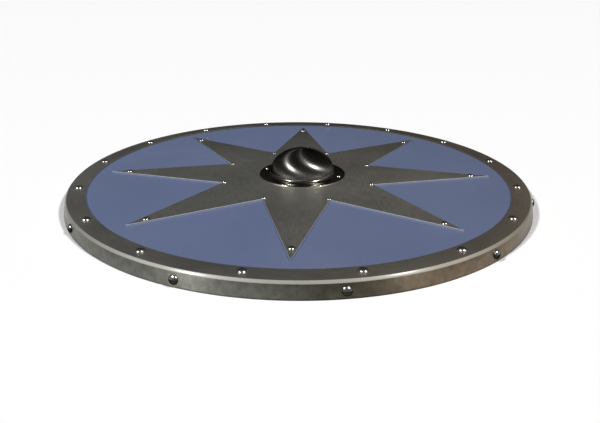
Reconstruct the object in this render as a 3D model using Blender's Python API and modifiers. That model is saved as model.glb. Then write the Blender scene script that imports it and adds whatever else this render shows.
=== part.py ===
# Round wooden shield, lying face up: a painted board in a steel edge, with a steel star, a domed
# boss and rivets on its face, and two leather straps on its bare wooden back.
# Metres, +Z up. The origin is the centre of the edge's underside, which the shield lies on.
# One point of the star is towards -Y.

import math

import bmesh
import bpy
from mathutils import Matrix, Vector

# Fits and sheet
CLEARANCE = 0.0003
SHEET = 0.0015

# Board and steel edge: the band's foot stands out past its top, and gives the shield's radius
SHIELD_RADIUS = 0.305
BOARD_THICKNESS = 0.012
RING_WIDTH = 0.0220
BEVEL_WIDTH = 0.0023
BEVEL_DROP = 0.0026
BAND_FLARE = 0.0029

# Star plate: the gap is between its points and the steel edge
STAR_POINTS = 8
STAR_POINT_GAP = 0.0182
STAR_CORNER_RADIUS = 0.1068

# Boss: a half ellipsoid on a flat flange, riveted on a little to one side of the centre
BOSS_SHIFT = 0.0048
BOSS_FLANGE_RADIUS = 0.0583
BOSS_DOME_RADIUS = 0.0426
BOSS_HEIGHT = 0.0360
BOSS_FILLET = 0.0026

# Leather straps, lying flat on the back
STRAP_THICKNESS = 0.0022
STRAP_REST_GAP = 0.00045
ARM_STRAP = {"name": "arm_strap", "x": -0.085, "length": 0.210, "width": 0.042}
HAND_STRAP = {"name": "hand_strap", "x": 0.085, "length": 0.170, "width": 0.030}
STRAP_END_RADIUS = 0.012
STRAP_RIVET_INSET = 0.016

# Rivets: radius and height of the domed head, radius of the shank
RIM_RIVET = {"head": 0.0051, "height": 0.0029, "shank": 0.0016}
POINT_RIVET = {"head": 0.0040, "height": 0.0022, "shank": 0.0014}
CORNER_RIVET = {"head": 0.0031, "height": 0.0017, "shank": 0.0011}
BOSS_RIVET = {"head": 0.0030, "height": 0.0016, "shank": 0.0011}
STRAP_RIVET = {"head": 0.0045, "height": 0.0011, "shank": 0.0014}

# Rivet patterns
RIM_RIVETS = 16
RIM_RIVET_TURN = math.radians(-8.7)
RING_RIVET_INSET = 0.0123
POINT_RIVET_INSET = 0.0250
CORNER_RIVET_INSET = 0.0024
BOSS_RIVETS = 4
BOSS_RIVET_TURN = math.radians(-17.0)
BOSS_RIVET_INSET = 0.0066
SIDE_RIVET_DEGREES = (-145.6, -110.9, -79.9, -46.4, -13.8)
SIDE_RIVETS_BEHIND = 6
SIDE_RIVET_BITE = 0.005
WOOD_LEFT_BEHIND = 0.004

# Facets
EDGE_STEPS = 64
BOSS_STEPS = 32
DOME_STEPS = 6
FILLET_STEPS = 2
RIVET_STEPS = 8
HEAD_STEPS = 2
STRAP_END_STEPS = 2
MERGE = 0.00001
SMOOTH_ANGLE = math.radians(30.0)

# Heights, worked out from the floor up
FRONT = math.radians(-90.0)
STRAP_TOP = STRAP_REST_GAP + STRAP_RIVET["height"] + CLEARANCE + STRAP_THICKNESS
BOARD_BACK = STRAP_TOP + CLEARANCE
BOARD_FACE = BOARD_BACK + BOARD_THICKNESS
PLATE_UNDERSIDE = BOARD_FACE + CLEARANCE
PLATE_TOP = PLATE_UNDERSIDE + SHEET
BOSS_BASE = PLATE_TOP + CLEARANCE
BAND_TOP = PLATE_TOP - BEVEL_DROP
BAND_LEAN = math.atan2(BAND_FLARE, BAND_TOP)
BEVEL_SLOPE = math.atan2(BEVEL_DROP, BEVEL_WIDTH)
RING_OUTER_RADIUS = SHIELD_RADIUS - BAND_FLARE - BEVEL_WIDTH
RING_INNER_RADIUS = RING_OUTER_RADIUS - RING_WIDTH
STAR_POINT_RADIUS = RING_INNER_RADIUS - STAR_POINT_GAP
RIVET_BITE = BOARD_THICKNESS - WOOD_LEFT_BEHIND


def clear_scene():
    for obj in list(bpy.data.objects):
        bpy.data.objects.remove(obj, do_unlink=True)


def new_collection(name):
    collection = bpy.data.collections.new(name)
    bpy.context.scene.collection.children.link(collection)
    return collection


def make_material(name, color, roughness, metallic):
    material = bpy.data.materials.new(name)
    material.use_nodes = True
    shader = material.node_tree.nodes["Principled BSDF"]
    shader.inputs["Base Color"].default_value = (*color, 1.0)
    shader.inputs["Roughness"].default_value = roughness
    shader.inputs["Metallic"].default_value = metallic
    material.diffuse_color = (*color, 1.0)
    return material


def paint_blue():
    return make_material("blue_paint", (0.127, 0.162, 0.300), 0.55, 0.0)


def brushed_steel():
    return make_material("brushed_steel", (0.33, 0.32, 0.29), 0.38, 1.0)


def polished_steel():
    return make_material("polished_steel", (0.42, 0.41, 0.40), 0.14, 1.0)


def strap_leather():
    return make_material("strap_leather", (0.115, 0.052, 0.024), 0.62, 0.0)


def add_object(name, mesh, material, collection, parent):
    obj = bpy.data.objects.new(name, mesh)
    collection.objects.link(obj)
    obj.parent = parent
    if not mesh.materials:
        mesh.materials.append(material)
    return obj


def finished_mesh(source, name):
    # The evaluated mesh of an object, welded and shaded, and the object removed.
    bpy.context.view_layer.update()
    graph = bpy.context.evaluated_depsgraph_get()
    mesh = bpy.data.meshes.new_from_object(source.evaluated_get(graph))
    mesh.name = name
    work = bmesh.new()
    work.from_mesh(mesh)
    bmesh.ops.remove_doubles(work, verts=work.verts, dist=MERGE)
    work.to_mesh(mesh)
    work.free()
    mesh.shade_smooth()
    mesh.set_sharp_from_angle(angle=SMOOTH_ANGLE)
    bpy.data.objects.remove(source, do_unlink=True)
    return mesh


def turned_object(name, profile, steps, closed=False):
    # A profile of (radius, height) points, top to bottom on its outer side, turned round Z.
    mesh = bpy.data.meshes.new(name)
    edges = [(index, index + 1) for index in range(len(profile) - 1)]
    if closed:
        edges.append((len(profile) - 1, 0))
    mesh.from_pydata([(radius, 0.0, height) for radius, height in profile], edges, [])
    obj = bpy.data.objects.new(name, mesh)
    bpy.context.scene.collection.objects.link(obj)
    screw = obj.modifiers.new("Turn", "SCREW")
    screw.axis = "Z"
    screw.angle = math.tau
    screw.screw_offset = 0.0
    screw.steps = steps
    screw.render_steps = steps
    screw.use_merge_vertices = True
    screw.merge_threshold = MERGE
    return obj


def plate_mesh(name, outline, holes, thickness):
    # A flat outline of (x, y) points with holes in it, filled and thickened, its underside at 0.
    curve = bpy.data.curves.new(name, "CURVE")
    curve.dimensions = "2D"
    curve.fill_mode = "BOTH"
    curve.extrude = thickness / 2
    for loop in [outline, *holes]:
        spline = curve.splines.new("POLY")
        spline.points.add(len(loop) - 1)
        for point, (x, y) in zip(spline.points, loop):
            point.co = (x, y, 0.0, 1.0)
        spline.use_cyclic_u = True
    obj = bpy.data.objects.new(name, curve)
    bpy.context.scene.collection.objects.link(obj)
    mesh = finished_mesh(obj, name)
    mesh.transform(Matrix.Translation((0.0, 0.0, thickness / 2)))
    return mesh


def on_circle(radius, angle):
    return radius * math.cos(angle), radius * math.sin(angle)


def hole_loops(rivet, places, center_x=0.0):
    # The clear holes of a rivet pattern as loops in a plate's own plane.
    loops = []
    for place in places:
        loop = []
        for index in range(RIVET_STEPS):
            x, y = on_circle(rivet["shank"] + CLEARANCE, index * math.tau / RIVET_STEPS)
            point = place @ Vector((x, y, 0.0))
            loop.append((point.x - center_x, point.y))
        loops.append(loop)
    return loops


def moved_in(corner, slope, next_slope, inset):
    # A corner of an outline between two sloping lines, after both lines move in by one distance.
    middle = (slope + next_slope) / 2
    reach = inset / math.cos((next_slope - slope) / 2)
    return corner[0] - reach * math.sin(middle), corner[1] - reach * math.cos(middle)


def edge_corners(inset):
    # The bevel's two corners, moved in by the same distance all along the edge's outline.
    band_slope = math.pi / 2 - BAND_LEAN
    upper = moved_in((RING_OUTER_RADIUS, PLATE_TOP), 0.0, BEVEL_SLOPE, inset)
    lower = moved_in((RING_OUTER_RADIUS + BEVEL_WIDTH, BAND_TOP), BEVEL_SLOPE, band_slope, inset)
    return upper, lower


def band_radius(height, inset=0.0):
    return SHIELD_RADIUS - inset / math.cos(BAND_LEAN) - height * math.tan(BAND_LEAN)


def board_mesh():
    inset = SHEET + CLEARANCE
    upper, lower = edge_corners(inset)
    back = (band_radius(BOARD_BACK, inset), BOARD_BACK)
    profile = [(0.0, BOARD_FACE), upper, lower, back, (0.0, BOARD_BACK)]
    return finished_mesh(turned_object("board", profile, EDGE_STEPS), "board")


def rim_mesh():
    upper, lower = edge_corners(0.0)
    inner_upper, inner_lower = edge_corners(SHEET)
    profile = [
        (RING_INNER_RADIUS, PLATE_TOP),
        upper,
        lower,
        (band_radius(0.0), 0.0),
        (band_radius(0.0, SHEET), 0.0),
        inner_lower,
        inner_upper,
        (RING_INNER_RADIUS, PLATE_UNDERSIDE),
    ]
    return finished_mesh(turned_object("rim", profile, EDGE_STEPS, closed=True), "rim")


def star_mesh():
    outline = []
    for index in range(2 * STAR_POINTS):
        radius = STAR_CORNER_RADIUS if index % 2 else STAR_POINT_RADIUS
        outline.append(on_circle(radius, FRONT + index * math.pi / STAR_POINTS))
    holes = hole_loops(POINT_RIVET, point_rivet_places())
    holes += hole_loops(CORNER_RIVET, corner_rivet_places())
    holes += hole_loops(BOSS_RIVET, boss_rivet_places())
    return plate_mesh("star", outline, holes, SHEET)


def boss_profile():
    # Down the outside: the half ellipsoid, the fillet at its foot, then the flange's flat top.
    foot = SHEET + BOSS_FILLET
    points = []
    for index in range(DOME_STEPS + 1):
        angle = math.pi / 2 * (1 - index / DOME_STEPS)
        height = foot + (BOSS_HEIGHT - foot) * math.sin(angle)
        points.append((BOSS_DOME_RADIUS * math.cos(angle), height))
    points[0] = (0.0, BOSS_HEIGHT)
    for index in range(1, FILLET_STEPS + 1):
        angle = math.pi / 2 * index / FILLET_STEPS
        radius = BOSS_DOME_RADIUS + BOSS_FILLET * (1 - math.cos(angle))
        points.append((radius, foot - BOSS_FILLET * math.sin(angle)))
    points.append((BOSS_FLANGE_RADIUS, SHEET))
    return points


def boss_mesh():
    obj = turned_object("boss", boss_profile(), BOSS_STEPS)
    shell = obj.modifiers.new("Sheet", "SOLIDIFY")
    shell.thickness = SHEET
    shell.offset = -1.0
    shell.use_even_offset = True
    return finished_mesh(obj, "boss")


def strap_mesh(strap):
    # A flat strip along Y with rounded corners.
    outline = []
    reach = strap["length"] / 2 - STRAP_END_RADIUS
    side = strap["width"] / 2 - STRAP_END_RADIUS
    for quarter, (x, y) in enumerate([(side, reach), (-side, reach), (-side, -reach), (side, -reach)]):
        for index in range(STRAP_END_STEPS + 1):
            angle = math.pi / 2 * (quarter + index / STRAP_END_STEPS)
            offset = on_circle(STRAP_END_RADIUS, angle)
            outline.append((x + offset[0], y + offset[1]))
    holes = hole_loops(STRAP_RIVET, strap_rivet_places(strap), strap["x"])
    return plate_mesh(strap["name"], outline, holes, STRAP_THICKNESS)


def rivet_mesh(name, rivet, shank_length):
    # A half ellipsoid head whose flat underside is at height 0, and a shank running down from it.
    profile = [(0.0, rivet["height"])]
    for index in range(1, HEAD_STEPS):
        angle = math.pi / 2 * index / HEAD_STEPS
        profile.append((rivet["head"] * math.sin(angle), rivet["height"] * math.cos(angle)))
    profile.append((rivet["head"], 0.0))
    profile.append((rivet["shank"], 0.0))
    profile.append((rivet["shank"], -shank_length))
    profile.append((0.0, -shank_length))
    return finished_mesh(turned_object(name, profile, RIVET_STEPS), name)


def hole_cutter(name, rivet, shank_length, places, collection):
    # A clear hole for every shank of one pattern, from just over the surface to past its end.
    top = CLEARANCE
    bottom = -shank_length - CLEARANCE
    work = bmesh.new()
    for place in places:
        bmesh.ops.create_cone(
            work,
            cap_ends=True,
            segments=RIVET_STEPS,
            radius1=rivet["shank"] + CLEARANCE,
            radius2=rivet["shank"] + CLEARANCE,
            depth=top - bottom,
            matrix=place @ Matrix.Translation((0.0, 0.0, (top + bottom) / 2)),
        )
    mesh = bpy.data.meshes.new(name)
    work.to_mesh(mesh)
    work.free()
    cutter = bpy.data.objects.new(name, mesh)
    collection.objects.link(cutter)
    cutter.hide_render = True
    cutter.display_type = "WIRE"
    return cutter


def cut(obj, cutter):
    boolean = obj.modifiers.new(cutter.name, "BOOLEAN")
    boolean.operation = "DIFFERENCE"
    boolean.object = cutter
    boolean.solver = "EXACT"


def face_place(radius, angle, height, center_x=0.0):
    x, y = on_circle(radius, angle)
    return Matrix.Translation((center_x + x, y, height)) @ Matrix.Rotation(angle, 4, "Z")


def side_place(angle, height):
    # Square to the leaning band.
    outward = Matrix.Rotation(angle, 4, "Z") @ Matrix.Translation((band_radius(height), 0.0, height))
    square = Matrix.Rotation(math.pi / 2 - BAND_LEAN, 4, "Y")
    return outward @ square @ Matrix.Translation((0.0, 0.0, CLEARANCE))


def back_place(x, y, height):
    return Matrix.Translation((x, y, height)) @ Matrix.Rotation(math.pi, 4, "X")


def rim_rivet_places():
    radius = RING_OUTER_RADIUS - RING_RIVET_INSET
    step = math.tau / RIM_RIVETS
    first = FRONT + RIM_RIVET_TURN
    height = PLATE_TOP + CLEARANCE
    return [face_place(radius, first + index * step, height) for index in range(RIM_RIVETS)]


def star_rivet_places(radius, turn):
    step = math.tau / STAR_POINTS
    height = PLATE_TOP + CLEARANCE
    return [face_place(radius, FRONT + turn + index * step, height) for index in range(STAR_POINTS)]


def point_rivet_places():
    return star_rivet_places(STAR_POINT_RADIUS - POINT_RIVET_INSET, 0.0)


def corner_rivet_places():
    return star_rivet_places(STAR_CORNER_RADIUS - CORNER_RIVET_INSET, math.pi / STAR_POINTS)


def boss_rivet_places():
    radius = BOSS_FLANGE_RADIUS - BOSS_RIVET_INSET
    step = math.tau / BOSS_RIVETS
    height = BOSS_BASE + SHEET + CLEARANCE
    places = []
    for index in range(BOSS_RIVETS):
        places.append(face_place(radius, BOSS_RIVET_TURN + index * step, height, BOSS_SHIFT))
    return places


def side_rivet_places():
    # Spaced by hand in front, and evenly round the far side.
    angles = list(SIDE_RIVET_DEGREES)
    gap = (angles[0] + 360.0 - angles[-1]) / (SIDE_RIVETS_BEHIND + 1)
    angles += [angles[-1] + gap * (index + 1) for index in range(SIDE_RIVETS_BEHIND)]
    return [side_place(math.radians(angle), BAND_TOP / 2) for angle in angles]


def strap_rivet_places(strap):
    reach = strap["length"] / 2 - STRAP_RIVET_INSET
    height = STRAP_TOP - STRAP_THICKNESS - CLEARANCE
    return [back_place(strap["x"], y, height) for y in (-reach, reach)]


def add_rivets(name, rivet, stack, bite, places, material, parts, cutters, parent):
    # One rivet in each place and the cutter for their holes. The stack is the sheets it holds.
    length = CLEARANCE + sum(sheet + CLEARANCE for sheet in stack) + bite
    mesh = rivet_mesh(name, rivet, length)
    for index, place in enumerate(places):
        obj = add_object(f"{name}_{index + 1:02d}", mesh, material, parts, parent)
        obj.matrix_world = place
    return hole_cutter(f"{name}_holes", rivet, length, places, cutters)


def build_shield():
    parts = new_collection("round_shield")
    cutters = new_collection("round_shield_cutters")
    parent = bpy.data.objects.new("shield", None)
    parts.objects.link(parent)
    blue = paint_blue()
    steel = brushed_steel()
    polished = polished_steel()
    leather = strap_leather()

    board = add_object("board", board_mesh(), blue, parts, parent)
    rim = add_object("rim", rim_mesh(), steel, parts, parent)
    star = add_object("star", star_mesh(), steel, parts, parent)
    star.location.z = PLATE_UNDERSIDE
    boss = add_object("boss", boss_mesh(), polished, parts, parent)
    boss.location = (BOSS_SHIFT, 0.0, BOSS_BASE)

    holes = add_rivets("rim_rivet", RIM_RIVET, [SHEET], RIVET_BITE, rim_rivet_places(),
                       polished, parts, cutters, parent)
    cut(rim, holes)
    cut(board, holes)

    holes = add_rivets("side_rivet", RIM_RIVET, [SHEET], SIDE_RIVET_BITE, side_rivet_places(),
                       polished, parts, cutters, parent)
    cut(rim, holes)
    cut(board, holes)

    holes = add_rivets("point_rivet", POINT_RIVET, [SHEET], RIVET_BITE, point_rivet_places(),
                       polished, parts, cutters, parent)
    cut(board, holes)

    holes = add_rivets("corner_rivet", CORNER_RIVET, [SHEET], RIVET_BITE, corner_rivet_places(),
                       polished, parts, cutters, parent)
    cut(board, holes)

    holes = add_rivets("boss_rivet", BOSS_RIVET, [SHEET, SHEET], RIVET_BITE, boss_rivet_places(),
                       polished, parts, cutters, parent)
    cut(boss, holes)
    cut(board, holes)

    for strap in (ARM_STRAP, HAND_STRAP):
        obj = add_object(strap["name"], strap_mesh(strap), leather, parts, parent)
        obj.location = (strap["x"], 0.0, STRAP_TOP - STRAP_THICKNESS)
        holes = add_rivets(strap["name"] + "_rivet", STRAP_RIVET, [STRAP_THICKNESS], RIVET_BITE,
                           strap_rivet_places(strap), polished, parts, cutters, parent)
        cut(board, holes)


clear_scene()
build_shield()
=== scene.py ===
# The looks of a wooden round shield that lies face up: a blue painted board in a dark steel edge,
# with a steel star, a polished boss and domed rivets, and a bare wooden back with leather straps.
# Metres, +Z up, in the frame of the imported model.

import math

import bmesh
import bpy
from mathutils import Euler, Matrix, Vector


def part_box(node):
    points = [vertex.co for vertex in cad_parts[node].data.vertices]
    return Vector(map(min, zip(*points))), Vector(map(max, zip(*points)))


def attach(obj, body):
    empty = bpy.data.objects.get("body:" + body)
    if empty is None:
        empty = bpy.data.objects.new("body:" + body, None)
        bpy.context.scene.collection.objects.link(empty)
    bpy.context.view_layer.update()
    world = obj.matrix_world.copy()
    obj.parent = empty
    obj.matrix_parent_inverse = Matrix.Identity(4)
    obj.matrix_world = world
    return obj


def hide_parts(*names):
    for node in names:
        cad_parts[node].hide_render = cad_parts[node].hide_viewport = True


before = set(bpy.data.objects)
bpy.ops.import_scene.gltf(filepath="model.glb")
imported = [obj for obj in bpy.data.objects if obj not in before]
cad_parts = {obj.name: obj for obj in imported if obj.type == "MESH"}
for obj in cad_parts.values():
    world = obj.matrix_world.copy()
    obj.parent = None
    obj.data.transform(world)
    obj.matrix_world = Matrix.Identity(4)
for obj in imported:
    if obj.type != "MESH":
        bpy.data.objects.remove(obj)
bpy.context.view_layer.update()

# The photograph's camera, which looks at the middle of the shield's face and is then nudged
CAMERA_DISTANCE = 0.7935
CAMERA_ELEVATION = math.radians(18.566)
CAMERA_TURN = math.radians(1.756)
CAMERA_NUDGE = Euler((math.radians(-3.781), math.radians(-0.117), math.radians(0.162)))
CAMERA_LENS = 34.49
SENSOR_WIDTH = 36.0
CAMERA_CLIP = 0.01

# Two soft lamps in front of the shield, left and right. They give the photograph's highlights.
LAMP_DIRECTIONS = {"left_lamp": (-0.605, -0.383, 0.698), "right_lamp": (0.586, -0.288, 0.757)}
LAMP_STRENGTH = 2.3
LAMP_SPREAD = math.radians(7.0)

# The floor, and the room that the steel mirrors: lightest low down in front, dim above and behind
FLOOR_SIZE = 30.0
FLOOR_DROP = 0.0002
ROOM_LEAN = 0.35
ROOM_DIM_HEIGHT = 0.6
ROOM_LOW_COLOR = (0.10, 0.10, 0.095)
ROOM_HIGH_COLOR = (0.03, 0.03, 0.031)

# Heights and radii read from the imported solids
PLATE_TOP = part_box("rim")[1].z
SHIELD_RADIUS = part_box("rim")[1].x
BOARD_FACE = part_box("board")[1].z
BOARD_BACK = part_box("board")[0].z
BOARD_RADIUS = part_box("board")[1].x
BOSS_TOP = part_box("boss")[1].z
BOSS_CENTER_X = (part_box("boss")[0].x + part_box("boss")[1].x) / 2
BOSS_FLANGE_RADIUS = (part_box("boss")[1].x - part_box("boss")[0].x) / 2
STAR_POINT_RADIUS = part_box("star")[1].y
STRAP_NODES = ("arm_strap", "hand_strap")

# Steel edge, star and boss
SHEET = 0.0015
RING_WIDTH = 0.0220
BEVEL_WIDTH = 0.0023
BEVEL_DROP = 0.0026
BAND_FLARE = 0.0029
BAND_TOP = PLATE_TOP - BEVEL_DROP
BAND_LEAN = math.atan2(BAND_FLARE, BAND_TOP)
BEVEL_SLOPE = math.atan2(BEVEL_DROP, BEVEL_WIDTH)
RING_OUTER_RADIUS = SHIELD_RADIUS - BAND_FLARE - BEVEL_WIDTH
RING_INNER_RADIUS = RING_OUTER_RADIUS - RING_WIDTH
STAR_POINTS = 8
STAR_CORNER_RADIUS = 0.1068
BOSS_DOME_RADIUS = 0.0426
BOSS_FILLET = 0.0048
FRONT = math.radians(-90.0)

# Roundings of the finished pieces. The star's faces that lean past FLAT_NORMAL are its cut edges.
BEVEL_ROUND = 0.0010
CUT_ROUND = 0.0003
STAR_CHAMFER = 0.0002
FLAT_NORMAL = 0.9
FLANGE_ROUND = 0.0005
BOARD_ROUND = 0.0008
STRAP_CORNER = 0.012
STRAP_ROUND = 0.0006

# Planks that show on the back, with a narrow V between them, cut right across the board
PLANK_WIDTH = 0.088
JOINT_WIDTH = 0.0010
JOINT_LENGTH = 2.2 * BOARD_RADIUS

# Painted contact shade: a dark line at the foot of the band. Painted shade on the lower half of the side
# rivets, in place of a dark reflection, and where along X the steel takes on a painted brown reflection
FOOT_SHADE_HEIGHT = 0.0022
RIVET_SHADE_HEIGHTS = (BAND_TOP * 0.54, BAND_TOP * 0.68)
PAINTED_REFLECTION_SPAN = (-0.08, 0.306)
BLACK = (0.0, 0.0, 0.0)
FOOT_SHADE_COLOR = (0.02, 0.02, 0.016)
RIVET_SHADE_COLOR = (0.012, 0.012, 0.010)

# Facets. A rounded corner has at least ROUND_STEPS, and more where its steps would pass ARC_STEP.
EDGE_STEPS = 320
BOSS_STEPS = 160
DOME_STEPS = 40
FILLET_STEPS = 10
ROUND_STEPS = 3
ARC_STEP = 0.0012
RIVET_SIDES = 28
RIVET_RINGS = 8
MERGE = 0.000001
SHARP_ANGLE = math.radians(30.0)

# Each rivet's head leans a little its own way. It is trimmed to stay inside its solid's reach.
RIVET_TILT = math.radians(2.0)
HEAD_TRIM = 0.00026


class Paint:
    """A material made node by node. Each method adds a node and gives back its output."""

    def __init__(self, name):
        self.material = bpy.data.materials.new(name)
        self.material.use_nodes = True
        self.tree = self.material.node_tree
        self.shader = self.tree.nodes["Principled BSDF"]
        self.place = self.tree.nodes.new("ShaderNodeTexCoord").outputs["Object"]

    def add(self, kind, **inputs):
        node = self.tree.nodes.new(kind)
        for name, value in inputs.items():
            self.put(node.inputs[name.replace("_", " ")], value)
        return node

    def put(self, socket, value):
        if isinstance(value, bpy.types.NodeSocket):
            self.tree.links.new(value, socket)
        else:
            socket.default_value = value

    def math(self, operation, first, second=0.0):
        node = self.tree.nodes.new("ShaderNodeMath")
        node.operation = operation
        self.put(node.inputs[0], first)
        self.put(node.inputs[1], second)
        return node.outputs[0]

    def axes(self):
        """Places along X, Y and Z."""
        return self.add("ShaderNodeSeparateXYZ", Vector=self.place).outputs

    def stretched(self, scale):
        """Object coordinates scaled along each axis."""
        return self.add("ShaderNodeMapping", Vector=self.place, Scale=scale).outputs[0]

    def around(self, along, across):
        """Coordinates that change slowly round the shield and quickly along a radius."""
        parts = self.axes()
        squared = self.math("ADD", self.math("MULTIPLY", parts[0], parts[0]),
                            self.math("MULTIPLY", parts[1], parts[1]))
        radius = self.math("SQRT", squared)
        east = self.math("MULTIPLY", self.math("DIVIDE", parts[0], radius), along)
        north = self.math("MULTIPLY", self.math("DIVIDE", parts[1], radius), along)
        out = self.math("MULTIPLY", radius, across)
        return self.add("ShaderNodeCombineXYZ", X=east, Y=north, Z=out).outputs[0]

    def round_axis(self):
        """The direction round the shield's axis, which brushed steel shines across."""
        node = self.tree.nodes.new("ShaderNodeTangent")
        node.direction_type = "RADIAL"
        node.axis = "Z"
        return node.outputs[0]

    def noise(self, vector, scale=1.0, detail=3.0, roughness=0.5, distortion=0.0):
        node = self.add("ShaderNodeTexNoise", Vector=vector, Scale=scale, Detail=detail,
                        Roughness=roughness, Distortion=distortion)
        return node.outputs["Fac"]

    def spread(self, value, low, high, start=0.3, end=0.7):
        """A noise value, mostly between start and end, spread from low to high."""
        node = self.add("ShaderNodeMapRange", Value=value)
        for name, number in zip(("From Min", "From Max", "To Min", "To Max"), (start, end, low, high)):
            self.put(node.inputs[name], number)
        return node.outputs["Result"]

    def mix(self, factor, first, second):
        node = self.tree.nodes.new("ShaderNodeMix")
        node.data_type = "RGBA"
        factor_socket = node.inputs[0]
        color_sockets = node.inputs[6:8]
        self.put(factor_socket, factor)
        for socket, color in zip(color_sockets, (first, second)):
            self.put(socket, color if isinstance(color, bpy.types.NodeSocket) else (*color, 1.0))
        return node.outputs[2]

    def bump(self, height, depth, strength=1.0, under=None):
        node = self.add("ShaderNodeBump", Height=height, Distance=depth, Strength=strength)
        if under is not None:
            self.put(node.inputs["Normal"], under)
        return node.outputs["Normal"]

    def finish(self, **inputs):
        for name, value in inputs.items():
            self.put(self.shader.inputs[name.replace("_", " ")], value)
        return self.material


def blue_paint():
    # Satin paint laid on with a roller, over wood whose grain still shows a little.
    paint = Paint("blue_paint")
    broad = paint.noise(paint.place, scale=7.0, detail=4.0)
    fine = paint.noise(paint.place, scale=420.0, detail=3.0)
    grain = paint.noise(paint.stretched((260.0, 9.0, 9.0)), detail=4.0, roughness=0.6)
    color = paint.mix(paint.spread(broad, 0.0, 1.0), (0.102, 0.132, 0.232), (0.120, 0.150, 0.252))
    color = paint.mix(paint.spread(grain, 0.0, 0.16), color, (0.085, 0.108, 0.205))
    # Painted shade: the paint goes darker and more purple towards +X
    across = paint.axes()[0]
    color = paint.mix(paint.spread(across, 0.0, 0.35, -0.1, BOARD_RADIUS), color, (0.095, 0.105, 0.165))
    normal = paint.bump(grain, 0.00012, 0.35)
    normal = paint.bump(fine, 0.00008, 0.5, normal)
    return paint.finish(Base_Color=color, Roughness=paint.spread(fine, 0.46, 0.56), Normal=normal)


def bare_wood():
    # Planed pine planks, each of its own tone, with growth lines along them.
    paint = Paint("bare_wood")
    across = paint.axes()[0]
    plank = paint.math("FLOOR", paint.math("DIVIDE", across, PLANK_WIDTH))
    tone = paint.add("ShaderNodeTexWhiteNoise")
    tone.noise_dimensions = "1D"
    paint.put(tone.inputs["W"], plank)
    shift = paint.math("MULTIPLY", tone.outputs["Value"], 3.0)
    moved = paint.add("ShaderNodeVectorMath")
    moved.operation = "ADD"
    paint.put(moved.inputs[0], paint.stretched((70.0, 4.0, 8.0)))
    paint.put(moved.inputs[1], paint.add("ShaderNodeCombineXYZ", X=shift, Y=shift, Z=plank).outputs[0])
    rings = paint.noise(moved.outputs[0], detail=3.0, roughness=0.55, distortion=0.6)
    fibres = paint.noise(paint.stretched((900.0, 22.0, 60.0)), detail=3.0, roughness=0.6)
    late_wood = paint.spread(rings, 0.0, 1.0, 0.35, 0.65)
    color = paint.mix(late_wood, (0.50, 0.31, 0.155), (0.30, 0.165, 0.072))
    color = paint.mix(paint.spread(fibres, 0.0, 0.45), color, (0.24, 0.135, 0.06))
    paleness = paint.spread(tone.outputs["Value"], 0.0, 0.35, 0.0, 1.0)
    color = paint.mix(paleness, color, (0.58, 0.40, 0.22))
    normal = paint.bump(fibres, 0.00012, 0.6)
    return paint.finish(Base_Color=color, Roughness=paint.spread(fibres, 0.58, 0.72), Normal=normal)


def ground_steel(name, lines_along, color, patchiness, tints, rough=(0.36, 0.58), patch_scale=26.0,
                 brushed=0.0, wax=0.0):
    """Mild steel ground in one direction, darker in random patches, with painted shade towards the back
    and painted contact shade at the foot. Each tint is painted light that comes in along X, from nothing
    at its first place to its amount at its last."""
    paint = Paint(name)
    lines = paint.noise(lines_along(paint), detail=2.0, roughness=0.6)
    patches = paint.noise(paint.place, scale=patch_scale, detail=5.0, roughness=0.62)
    smudges = paint.noise(paint.place, scale=9.0, detail=3.0)
    across, back, height = paint.axes()
    # Painted light: each tint shifts the colour along X
    for first, last, amount, tint in tints:
        color = paint.mix(paint.spread(across, 0.0, amount, first, last), color, tint)
    color = paint.mix(paint.spread(patches, 0.0, patchiness), color, BLACK)
    # Painted shade: darker towards the back, along +Y
    color = paint.mix(paint.spread(back, 0.0, 0.55, -0.05, SHIELD_RADIUS), color, BLACK)
    # Painted contact shade: a dark line at the foot
    color = paint.mix(paint.spread(height, 0.6, 0.0, 0.0, FOOT_SHADE_HEIGHT), color, FOOT_SHADE_COLOR)
    roughness = paint.math("ADD", paint.spread(lines, *rough), paint.spread(smudges, -0.03, 0.03))
    normal = paint.bump(lines, 0.00003, 0.2)
    return paint.finish(Base_Color=color, Metallic=1.0, Roughness=roughness, Normal=normal,
                        Anisotropic=brushed, Anisotropic_Rotation=0.25, Tangent=paint.round_axis(),
                        Coat_Weight=wax, Coat_Roughness=0.20)


def ring_lines(paint):
    return paint.around(16.0, 5000.0)


def fine_grain(paint):
    return paint.stretched((9000.0, 9000.0, 9000.0))


def star_lines(paint):
    return paint.stretched((5000.0, 60.0, 60.0))


def band_lines(paint):
    return paint.stretched((1800.0, 1800.0, 60.0))


def polished_steel(name, color, roughness, haze=0.02, anisotropy=0.0, swirl=0.0, painted_lower_shade=0.0):
    # Buffed steel with faint swirls and finger marks. Its lower half can be given painted shade,
    # in place of a dark reflection.
    paint = Paint(name)
    marks = paint.noise(paint.place, scale=55.0, detail=4.0, roughness=0.6)
    swirls = paint.noise(paint.around(60.0, 9000.0), detail=1.0)
    tone = paint.mix(paint.spread(marks, 0.0, 1.0), color, [value * 0.82 for value in color])
    height = paint.axes()[2]
    # Painted shade on the lower part, in place of a dark reflection
    tone = paint.mix(paint.spread(height, painted_lower_shade, 0.0, *RIVET_SHADE_HEIGHTS), tone, RIVET_SHADE_COLOR)
    rough = paint.math("ADD", paint.spread(marks, roughness - 0.03, roughness + 0.03),
                       paint.spread(swirls, -0.02, haze))
    normal = paint.bump(swirls, 0.000008, 0.3)
    return paint.finish(Base_Color=tone, Metallic=1.0, Roughness=rough, Normal=normal,
                        Specular_Tint=(0.12, 0.12, 0.12, 1.0), Anisotropic=anisotropy,
                        Anisotropic_Rotation=swirl, Tangent=paint.round_axis())


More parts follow.
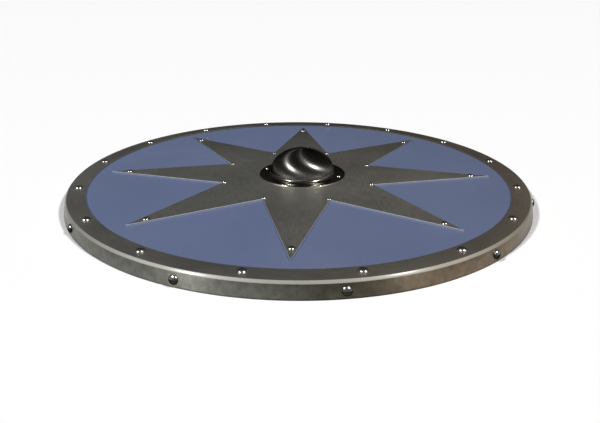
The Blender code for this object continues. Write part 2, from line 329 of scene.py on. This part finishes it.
def strap_leather():
    # Brown vegetable-tanned leather: pores, and creases across the strap.
    paint = Paint("strap_leather")
    pores = paint.add("ShaderNodeTexVoronoi", Vector=paint.place, Scale=900.0).outputs["Distance"]
    creases = paint.noise(paint.stretched((110.0, 220.0, 110.0)), detail=4.0, roughness=0.6)
    broad = paint.noise(paint.place, scale=30.0, detail=4.0)
    color = paint.mix(paint.spread(broad, 0.0, 1.0), (0.095, 0.040, 0.018), (0.150, 0.070, 0.032))
    color = paint.mix(paint.spread(creases, 0.0, 0.3), color, (0.060, 0.026, 0.013))
    normal = paint.bump(creases, 0.0003, 0.5)
    normal = paint.bump(pores, 0.0001, 0.5, normal)
    return paint.finish(Base_Color=color, Roughness=paint.spread(broad, 0.55, 0.7), Normal=normal)


def link(obj):
    bpy.context.scene.collection.objects.link(obj)
    return obj


def plain_mesh(obj):
    # The object's evaluated mesh, on a new object at the origin with no modifiers.
    bpy.context.view_layer.update()
    graph = bpy.context.evaluated_depsgraph_get()
    mesh = bpy.data.meshes.new_from_object(obj.evaluated_get(graph))
    name = obj.name
    bpy.data.objects.remove(obj, do_unlink=True)
    piece = link(bpy.data.objects.new(name, mesh))
    mesh.name = name
    return piece


def mesh_object(name, work, *materials):
    mesh = bpy.data.meshes.new(name)
    work.to_mesh(mesh)
    work.free()
    for material in materials:
        mesh.materials.append(material)
    mesh.shade_smooth()
    mesh.set_sharp_from_angle(angle=SHARP_ANGLE)
    return link(bpy.data.objects.new(name, mesh))


def dress(piece, nodes):
    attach(piece, "root")
    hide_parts(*nodes)


def rounded(corners):
    """An outline of (x, y, rounding) corners as points, each rounded corner as an arc."""
    points = []
    for index, (x, y, size) in enumerate(corners):
        corner = Vector((x, y))
        if not size:
            points.append(corner)
            continue
        back = Vector(corners[index - 1][:2]) - corner
        ahead = Vector(corners[(index + 1) % len(corners)][:2]) - corner
        back.normalize()
        ahead.normalize()
        half = back.angle(ahead) / 2
        center = corner + (back + ahead).normalized() * size / math.sin(half)
        first = corner + back * size / math.tan(half) - center
        last = corner + ahead * size / math.tan(half) - center
        steps = max(ROUND_STEPS, round(size / ARC_STEP))
        for step in range(steps + 1):
            points.append(center + first.slerp(last, step / steps) * size)
    return [tuple(point) for point in points]


def turned(profile, steps, center_x=0.0, closed=False):
    """A profile of (radius, height) points turned round Z."""
    work = bmesh.new()
    verts = [work.verts.new((radius, 0.0, height)) for radius, height in profile]
    edges = [work.edges.new(pair) for pair in zip(verts, verts[1:])]
    if closed:
        edges.append(work.edges.new((verts[-1], verts[0])))
    bmesh.ops.spin(work, geom=verts + edges, axis=(0.0, 0.0, 1.0), cent=(0.0, 0.0, 0.0),
                   angle=math.tau, steps=steps, use_merge=True)
    bmesh.ops.remove_doubles(work, verts=work.verts, dist=MERGE)
    bmesh.ops.recalc_face_normals(work, faces=work.faces)
    bmesh.ops.translate(work, verts=work.verts, vec=(center_x, 0.0, 0.0))
    return work


def on_circle(radius, angle):
    return radius * math.cos(angle), radius * math.sin(angle)


def moved_in(corner, slope, next_slope, inset):
    # A corner of an outline between two sloping lines, after both lines move in by one distance.
    middle = (slope + next_slope) / 2
    reach = inset / math.cos((next_slope - slope) / 2)
    return corner[0] - reach * math.sin(middle), corner[1] - reach * math.cos(middle)


def edge_corners(inset):
    # The bevel's two corners, moved in by the same distance all along the edge's outline.
    band_slope = math.pi / 2 - BAND_LEAN
    upper = moved_in((RING_OUTER_RADIUS, PLATE_TOP), 0.0, BEVEL_SLOPE, inset)
    lower = moved_in((RING_OUTER_RADIUS + BEVEL_WIDTH, BAND_TOP), BEVEL_SLOPE, band_slope, inset)
    return upper, lower


def band_radius(height, inset=0.0):
    return SHIELD_RADIUS - inset / math.cos(BAND_LEAN) - height * math.tan(BAND_LEAN)


def make_rim():
    upper, lower = edge_corners(0.0)
    inner_upper, inner_lower = edge_corners(SHEET)
    profile = rounded([
        (RING_INNER_RADIUS, PLATE_TOP, CUT_ROUND),
        (*upper, BEVEL_ROUND),
        (*lower, BEVEL_ROUND),
        (band_radius(0.0), 0.0, CUT_ROUND),
        (band_radius(0.0, SHEET), 0.0, CUT_ROUND),
        (*inner_lower, 0.0),
        (*inner_upper, 0.0),
        (RING_INNER_RADIUS, BOARD_FACE, 0.0),
    ])
    work = turned(profile, EDGE_STEPS, closed=True)
    # The ring and the bevel take on a painted brown reflection towards +X
    steel = ground_steel("ring_steel", ring_lines, (0.47, 0.46, 0.415), 0.07,
                         [(*PAINTED_REFLECTION_SPAN, 0.85, (0.445, 0.365, 0.275))], rough=(0.42, 0.56))
    bevel = ground_steel("bevel_steel", fine_grain, (0.37, 0.365, 0.335), 0.10,
                         [(*PAINTED_REFLECTION_SPAN, 0.85, (0.37, 0.31, 0.24))], rough=(0.60, 0.72), wax=0.35)
    # Painted shade and light along X: darker and browner right of the middle front, and a lighter
    # painted brown reflection further right
    band_painted_light = [
        (-0.03, 0.03, 0.9, (0.101, 0.093, 0.067)),
        (0.04, 0.10, 0.7, (0.114, 0.086, 0.060)),
        (0.095, 0.16, 0.9, (0.283, 0.215, 0.146)),
    ]
    band = ground_steel("band_steel", band_lines, (0.22, 0.22, 0.192), 0.38, band_painted_light,
                        rough=(0.30, 0.46), patch_scale=140.0, brushed=0.92)
    rim = mesh_object("steel_edge", work, steel, bevel, band)
    for face in rim.data.polygons:
        if face.center.z < BAND_TOP - BEVEL_ROUND / 2:
            face.material_index = rim.data.materials.find(band.name)
        elif face.center.z < PLATE_TOP - BEVEL_ROUND / 8:
            face.material_index = rim.data.materials.find(bevel.name)
    dress(rim, ["rim"])


def make_board():
    inset = PLATE_TOP - BOARD_FACE
    upper, lower = edge_corners(inset)
    profile = rounded([
        (0.0, BOARD_FACE, 0.0),
        (upper[0], BOARD_FACE, BOARD_ROUND),
        (*lower, BOARD_ROUND),
        (band_radius(BOARD_BACK, inset), BOARD_BACK, BOARD_ROUND),
        (0.0, BOARD_BACK, 0.0),
    ])
    board = mesh_object("board_planks", turned(profile, EDGE_STEPS), blue_paint(), bare_wood())
    cutters = bmesh.new()
    joints = math.floor(BOARD_RADIUS / PLANK_WIDTH)
    for index in range(-joints, joints + 1):
        joint = bmesh.ops.create_cone(cutters, cap_ends=True, segments=4, depth=JOINT_LENGTH,
                                      radius1=JOINT_WIDTH / 2, radius2=JOINT_WIDTH / 2)["verts"]
        place = Matrix.Translation((index * PLANK_WIDTH, 0.0, BOARD_BACK))
        lying = Matrix.Rotation(math.pi / 2, 4, "X")
        bmesh.ops.transform(cutters, verts=joint, matrix=place @ lying)
    cutter = mesh_object("plank_joints", cutters, board.data.materials[1])
    boolean = board.modifiers.new("Joints", "BOOLEAN")
    boolean.object = cutter
    boolean.solver = "EXACT"
    board = plain_mesh(board)
    bpy.data.objects.remove(cutter, do_unlink=True)
    board.data.set_sharp_from_angle(angle=SHARP_ANGLE)
    for face in board.data.polygons:
        face.material_index = 0 if face.center.z > BOARD_FACE - BOARD_ROUND else 1
    dress(board, ["board"])


def make_star():
    work = bmesh.new()
    corners = []
    for index in range(2 * STAR_POINTS):
        radius = STAR_CORNER_RADIUS if index % 2 else STAR_POINT_RADIUS
        x, y = on_circle(radius, FRONT + index * math.pi / STAR_POINTS)
        corners.append(work.verts.new((x, y, BOARD_FACE)))
    base = work.faces.new(corners)
    top = bmesh.ops.extrude_face_region(work, geom=[base])["geom"]
    raised = [item for item in top if isinstance(item, bmesh.types.BMVert)]
    bmesh.ops.translate(work, verts=raised, vec=(0.0, 0.0, PLATE_TOP - BOARD_FACE))
    edges = [edge for edge in work.edges if all(vert in raised for vert in edge.verts)]
    bmesh.ops.bevel(work, geom=edges, offset=STAR_CHAMFER, segments=1, profile=0.5, affect="EDGES")
    bmesh.ops.recalc_face_normals(work, faces=work.faces)
    # The star takes on a painted brown reflection towards +X
    steel = ground_steel("star_steel", star_lines, (0.55, 0.545, 0.495), 0.06,
                         [(*PAINTED_REFLECTION_SPAN, 0.85, (0.56, 0.50, 0.42))])
    cut_steel = ground_steel("cut_steel", fine_grain, (0.56, 0.595, 0.67), 0.1, [], rough=(0.6, 0.75))
    star = mesh_object("star_plate", work, steel, cut_steel)
    for face in star.data.polygons:
        face.material_index = 0 if abs(face.normal.z) > FLAT_NORMAL else 1
    dress(star, ["star"])


def boss_outline():
    # Down the outside, round the flange's edge and back up the inside.
    foot = PLATE_TOP + SHEET + BOSS_FILLET
    rise = BOSS_TOP - foot
    outside = []
    for step in range(DOME_STEPS + 1):
        angle = math.pi / 2 * step / DOME_STEPS
        outside.append((BOSS_DOME_RADIUS * math.sin(angle), foot + rise * math.cos(angle)))
    fillet = []
    for step in range(1, FILLET_STEPS + 1):
        angle = math.pi / 2 * step / FILLET_STEPS
        radius = BOSS_DOME_RADIUS + BOSS_FILLET * (1 - math.cos(angle))
        fillet.append((radius, foot - BOSS_FILLET * math.sin(angle)))
    flange = rounded([
        (BOSS_DOME_RADIUS + BOSS_FILLET, PLATE_TOP + SHEET, 0.0),
        (BOSS_FLANGE_RADIUS, PLATE_TOP + SHEET, FLANGE_ROUND),
        (BOSS_FLANGE_RADIUS, PLATE_TOP, CUT_ROUND),
        (BOSS_DOME_RADIUS - SHEET, PLATE_TOP, 0.0),
    ])
    inside = []
    for step in range(DOME_STEPS + 1):
        angle = math.pi / 2 * step / DOME_STEPS
        radius = (BOSS_DOME_RADIUS - SHEET) * math.cos(angle)
        inside.append((radius, foot + (rise - SHEET) * math.sin(angle)))
    return outside + fillet[:-1] + flange + inside


def make_boss():
    work = turned(boss_outline(), BOSS_STEPS, BOSS_CENTER_X)
    dome = polished_steel("dome_steel", (0.20, 0.194, 0.177), 0.165,
                          haze=0.25, anisotropy=0.85, swirl=0.375)
    flange = polished_steel("flange_steel", (0.56, 0.52, 0.47), 0.15)
    boss = mesh_object("boss_dome", work, dome, flange)
    half_fillet = PLATE_TOP + SHEET + BOSS_FILLET / 2
    for face in boss.data.polygons:
        if face.center.z < half_fillet:
            face.material_index = 1
    dress(boss, ["boss"])


def make_strap(node, leather):
    low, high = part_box(node)
    work = bmesh.new()
    outline = rounded([
        (low.x, low.y, STRAP_CORNER),
        (high.x, low.y, STRAP_CORNER),
        (high.x, high.y, STRAP_CORNER),
        (low.x, high.y, STRAP_CORNER),
    ])
    base = work.faces.new([work.verts.new((x, y, low.z)) for x, y in outline])
    top = bmesh.ops.extrude_face_region(work, geom=[base])["geom"]
    raised = [item for item in top if isinstance(item, bmesh.types.BMVert)]
    bmesh.ops.translate(work, verts=raised, vec=(0.0, 0.0, BOARD_BACK - low.z))
    edges = [edge for edge in work.edges if all(vert not in raised for vert in edge.verts)]
    bmesh.ops.bevel(work, geom=edges, offset=STRAP_ROUND, segments=3, profile=0.5, affect="EDGES")
    bmesh.ops.recalc_face_normals(work, faces=work.faces)
    strap = mesh_object(node + "_leather", work, leather)
    dress(strap, [node])


def add_input(tree, name, kind, value=None):
    socket = tree.interface.new_socket(name=name, in_out="INPUT", socket_type=kind)
    if value is not None:
        socket.default_value = value
    return socket


def rivet_tree():
    """Geometry nodes that set a domed head on each point of a mesh, facing along its outward vector."""
    tree = bpy.data.node_groups.new("rivet_heads", "GeometryNodeTree")
    add_input(tree, "Geometry", "NodeSocketGeometry")
    add_input(tree, "Head Radius", "NodeSocketFloat", 0.005)
    add_input(tree, "Head Height", "NodeSocketFloat", 0.003)
    add_input(tree, "Sides", "NodeSocketInt", RIVET_SIDES)
    add_input(tree, "Rings", "NodeSocketInt", RIVET_RINGS)
    add_input(tree, "Tilt", "NodeSocketFloat", RIVET_TILT)
    add_input(tree, "Seed", "NodeSocketInt", 1)
    add_input(tree, "Material", "NodeSocketMaterial")
    tree.interface.new_socket(name="Geometry", in_out="OUTPUT", socket_type="NodeSocketGeometry")
    given = tree.nodes.new("NodeGroupInput").outputs

    def add(kind, **inputs):
        node = tree.nodes.new(kind)
        for name, value in inputs.items():
            put(node.inputs[name.replace("_", " ")], value)
        return node

    def put(socket, value):
        if isinstance(value, bpy.types.NodeSocket):
            tree.links.new(value, socket)
        else:
            socket.default_value = value

    def calculate(operation, first, second=0.0):
        node = tree.nodes.new("ShaderNodeMath")
        node.operation = operation
        put(node.inputs[0], first)
        put(node.inputs[1], second)
        return node.outputs[0]

    # A cone of height 1 is bent into a half ellipsoid. A point's height tells how far round it is.
    cone = add("GeometryNodeMeshCone", Vertices=given["Sides"], Side_Segments=given["Rings"],
               Radius_Top=0.0, Radius_Bottom=1.0, Depth=1.0)
    at = add("ShaderNodeSeparateXYZ", Vector=add("GeometryNodeInputPosition").outputs[0]).outputs
    across = calculate("SUBTRACT", 1.0, at[2])
    angle = calculate("MULTIPLY", across, math.pi / 2)
    radius = calculate("MULTIPLY", calculate("SINE", angle), given["Head Radius"])
    widen = calculate("DIVIDE", radius, across)
    bent = add("ShaderNodeCombineXYZ", X=calculate("MULTIPLY", at[0], widen),
               Y=calculate("MULTIPLY", at[1], widen),
               Z=calculate("MULTIPLY", calculate("COSINE", angle), given["Head Height"]))
    head = add("GeometryNodeSetPosition", Geometry=cone.outputs["Mesh"], Position=bent.outputs[0])

    outward = add("GeometryNodeInputNamedAttribute", Name="outward")
    outward.data_type = "FLOAT_VECTOR"
    aim = add("FunctionNodeAlignRotationToVector", Vector=outward.outputs["Attribute"])
    aim.axis = "Z"
    tilt = add("FunctionNodeRandomValue", Seed=given["Seed"])
    tilt.data_type = "FLOAT_VECTOR"
    least = add("ShaderNodeCombineXYZ")
    most = add("ShaderNodeCombineXYZ", Z=math.pi)
    for axis in (0, 1):
        put(least.inputs[axis], calculate("MULTIPLY", given["Tilt"], -1.0))
        put(most.inputs[axis], given["Tilt"])
    put(tilt.inputs["Min"], least.outputs[0])
    put(tilt.inputs["Max"], most.outputs[0])
    tilted = add("FunctionNodeEulerToRotation", Euler=tilt.outputs["Value"])
    turned_head = add("FunctionNodeRotateRotation", Rotation=aim.outputs[0], Rotate_By=tilted.outputs[0])
    turned_head.rotation_space = "LOCAL"
    heads = add("GeometryNodeInstanceOnPoints", Points=given["Geometry"], Instance=head.outputs[0],
                Rotation=turned_head.outputs[0])
    real = add("GeometryNodeRealizeInstances", Geometry=heads.outputs[0])
    smooth = add("GeometryNodeSetShadeSmooth", Geometry=real.outputs[0])
    coated = add("GeometryNodeSetMaterial", Geometry=smooth.outputs[0], Material=given["Material"])
    out = tree.nodes.new("NodeGroupOutput")
    tree.links.new(coated.outputs[0], out.inputs[0])
    return tree


def middle(node):
    points = [vert.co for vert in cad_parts[node].data.vertices]
    return sum(points, Vector()) / len(points)


def off_band(node):
    # The way out of the leaning band, at a side rivet's place.
    center = middle(node)
    level = Vector((center.x, center.y, 0.0)).normalized()
    return level * math.cos(BAND_LEAN) + Vector((0.0, 0.0, math.sin(BAND_LEAN)))


def make_rivets(name, prefix, count, tree, steel, seat, outward=None):
    """Heads for one rivet pattern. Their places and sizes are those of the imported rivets."""
    nodes = [f"{prefix}_{index + 1:02d}" for index in range(count)]
    seats = []
    facing = []
    for node in nodes:
        center = middle(node)
        direction = outward or off_band(node)
        seats.append(center + direction * (seat - center.dot(direction)))
        facing.append(direction)
    verts = [vert.co - seats[0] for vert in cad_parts[nodes[0]].data.vertices]
    height = max(co.dot(facing[0]) for co in verts) - HEAD_TRIM
    radius = max((co - facing[0] * co.dot(facing[0])).length for co in verts)
    mesh = bpy.data.meshes.new(name)
    mesh.from_pydata([tuple(place) for place in seats], [], [])
    attribute = mesh.attributes.new("outward", "FLOAT_VECTOR", "POINT")
    for item, direction in zip(attribute.data, facing):
        item.vector = direction
    rivets = link(bpy.data.objects.new(name, mesh))
    modifier = rivets.modifiers.new("Heads", "NODES")
    modifier.node_group = tree
    sizes = {"Head Radius": radius, "Head Height": height, "Seed": len(name), "Material": steel}
    for item in tree.interface.items_tree:
        if item.in_out == "INPUT" and item.name in sizes:
            modifier[item.identifier] = sizes[item.name]
    dress(plain_mesh(rivets), nodes)


def make_all_rivets():
    tree = rivet_tree()
    steel = polished_steel("rivet_steel", (0.74, 0.73, 0.70), 0.26)
    # The side rivets get painted shade on their lower half
    shaded_rivet_steel = polished_steel("side_rivet_steel_painted_shade", (0.66, 0.65, 0.63), 0.26, painted_lower_shade=0.97)
    flange_top = PLATE_TOP + SHEET
    up = Vector((0.0, 0.0, 1.0))
    strap_underside = -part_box("arm_strap")[0].z
    make_rivets("edge_rivets", "rim_rivet", 16, tree, steel, PLATE_TOP, up)
    make_rivets("side_rivets", "side_rivet", 11, tree, shaded_rivet_steel, SHIELD_RADIUS * math.cos(BAND_LEAN))
    make_rivets("star_point_rivets", "point_rivet", 8, tree, steel, PLATE_TOP, up)
    make_rivets("star_corner_rivets", "corner_rivet", 8, tree, steel, PLATE_TOP, up)
    make_rivets("boss_flange_rivets", "boss_rivet", 4, tree, steel, flange_top, up)
    make_rivets("arm_strap_rivets", "arm_strap_rivet", 2, tree, steel, strap_underside, -up)
    make_rivets("hand_strap_rivets", "hand_strap_rivet", 2, tree, steel, strap_underside, -up)


def make_floor():
    work = bmesh.new()
    bmesh.ops.create_grid(work, x_segments=1, y_segments=1, size=FLOOR_SIZE / 2)
    paint = Paint("pale_floor")
    paper = paint.noise(paint.place, scale=300.0, detail=2.0)
    color = paint.mix(paint.spread(paper, 0.0, 1.0), (0.90, 0.90, 0.90), (0.92, 0.92, 0.92))
    floor = mesh_object("floor", work, paint.finish(Base_Color=color, Roughness=0.9))
    floor.data.transform(Matrix.Translation((0.0, 0.0, -FLOOR_DROP)))


def make_lamps():
    for name, direction in LAMP_DIRECTIONS.items():
        light = bpy.data.lights.new(name, "SUN")
        light.energy = LAMP_STRENGTH
        light.angle = LAMP_SPREAD
        lamp = link(bpy.data.objects.new(name, light))
        lamp.rotation_euler = Vector(direction).to_track_quat("Z", "Y").to_euler()


def make_room():
    # The colour goes by height, and ROOM_LEAN makes the front count as lower and the back as higher.
    world = bpy.data.worlds.new("room")
    world.use_nodes = True
    tree = world.node_tree
    toward = tree.nodes.new("ShaderNodeTexCoord").outputs["Generated"]
    parts = tree.nodes.new("ShaderNodeSeparateXYZ")
    tree.links.new(toward, parts.inputs[0])
    height = tree.nodes.new("ShaderNodeMath")
    height.operation = "MULTIPLY_ADD"
    tree.links.new(parts.outputs[1], height.inputs[0])
    height.inputs[1].default_value = ROOM_LEAN
    tree.links.new(parts.outputs[2], height.inputs[2])
    ramp = tree.nodes.new("ShaderNodeValToRGB")
    tree.links.new(height.outputs[0], ramp.inputs[0])
    stops = ramp.color_ramp.elements
    stops[0].position = 0.0
    stops[0].color = (*ROOM_LOW_COLOR, 1.0)
    stops[1].position = ROOM_DIM_HEIGHT
    stops[1].color = (*ROOM_HIGH_COLOR, 1.0)
    tree.links.new(ramp.outputs[0], tree.nodes["Background"].inputs["Color"])
    bpy.context.scene.world = world


def make_camera():
    lens = bpy.data.cameras.new("camera")
    lens.lens = CAMERA_LENS
    lens.sensor_width = SENSOR_WIDTH
    lens.clip_start = CAMERA_CLIP
    camera = link(bpy.data.objects.new("camera", lens))
    back = Vector((0.0, -math.cos(CAMERA_ELEVATION), math.sin(CAMERA_ELEVATION)))
    turn = Matrix.Rotation(CAMERA_TURN, 4, "Z")
    place = Matrix.Translation(turn @ (back * CAMERA_DISTANCE) + Vector((0.0, 0.0, PLATE_TOP)))
    tip = Matrix.Rotation(math.pi / 2 - CAMERA_ELEVATION, 4, "X")
    camera.matrix_world = place @ turn @ tip @ CAMERA_NUDGE.to_matrix().to_4x4()
    bpy.context.scene.camera = camera


make_camera()
make_lamps()
make_room()
make_floor()
make_board()
make_rim()
make_star()
make_boss()
leather = strap_leather()
for strap_node in STRAP_NODES:
    make_strap(strap_node, leather)
make_all_rivets()

bpy.context.scene.view_settings.view_transform = "Standard"
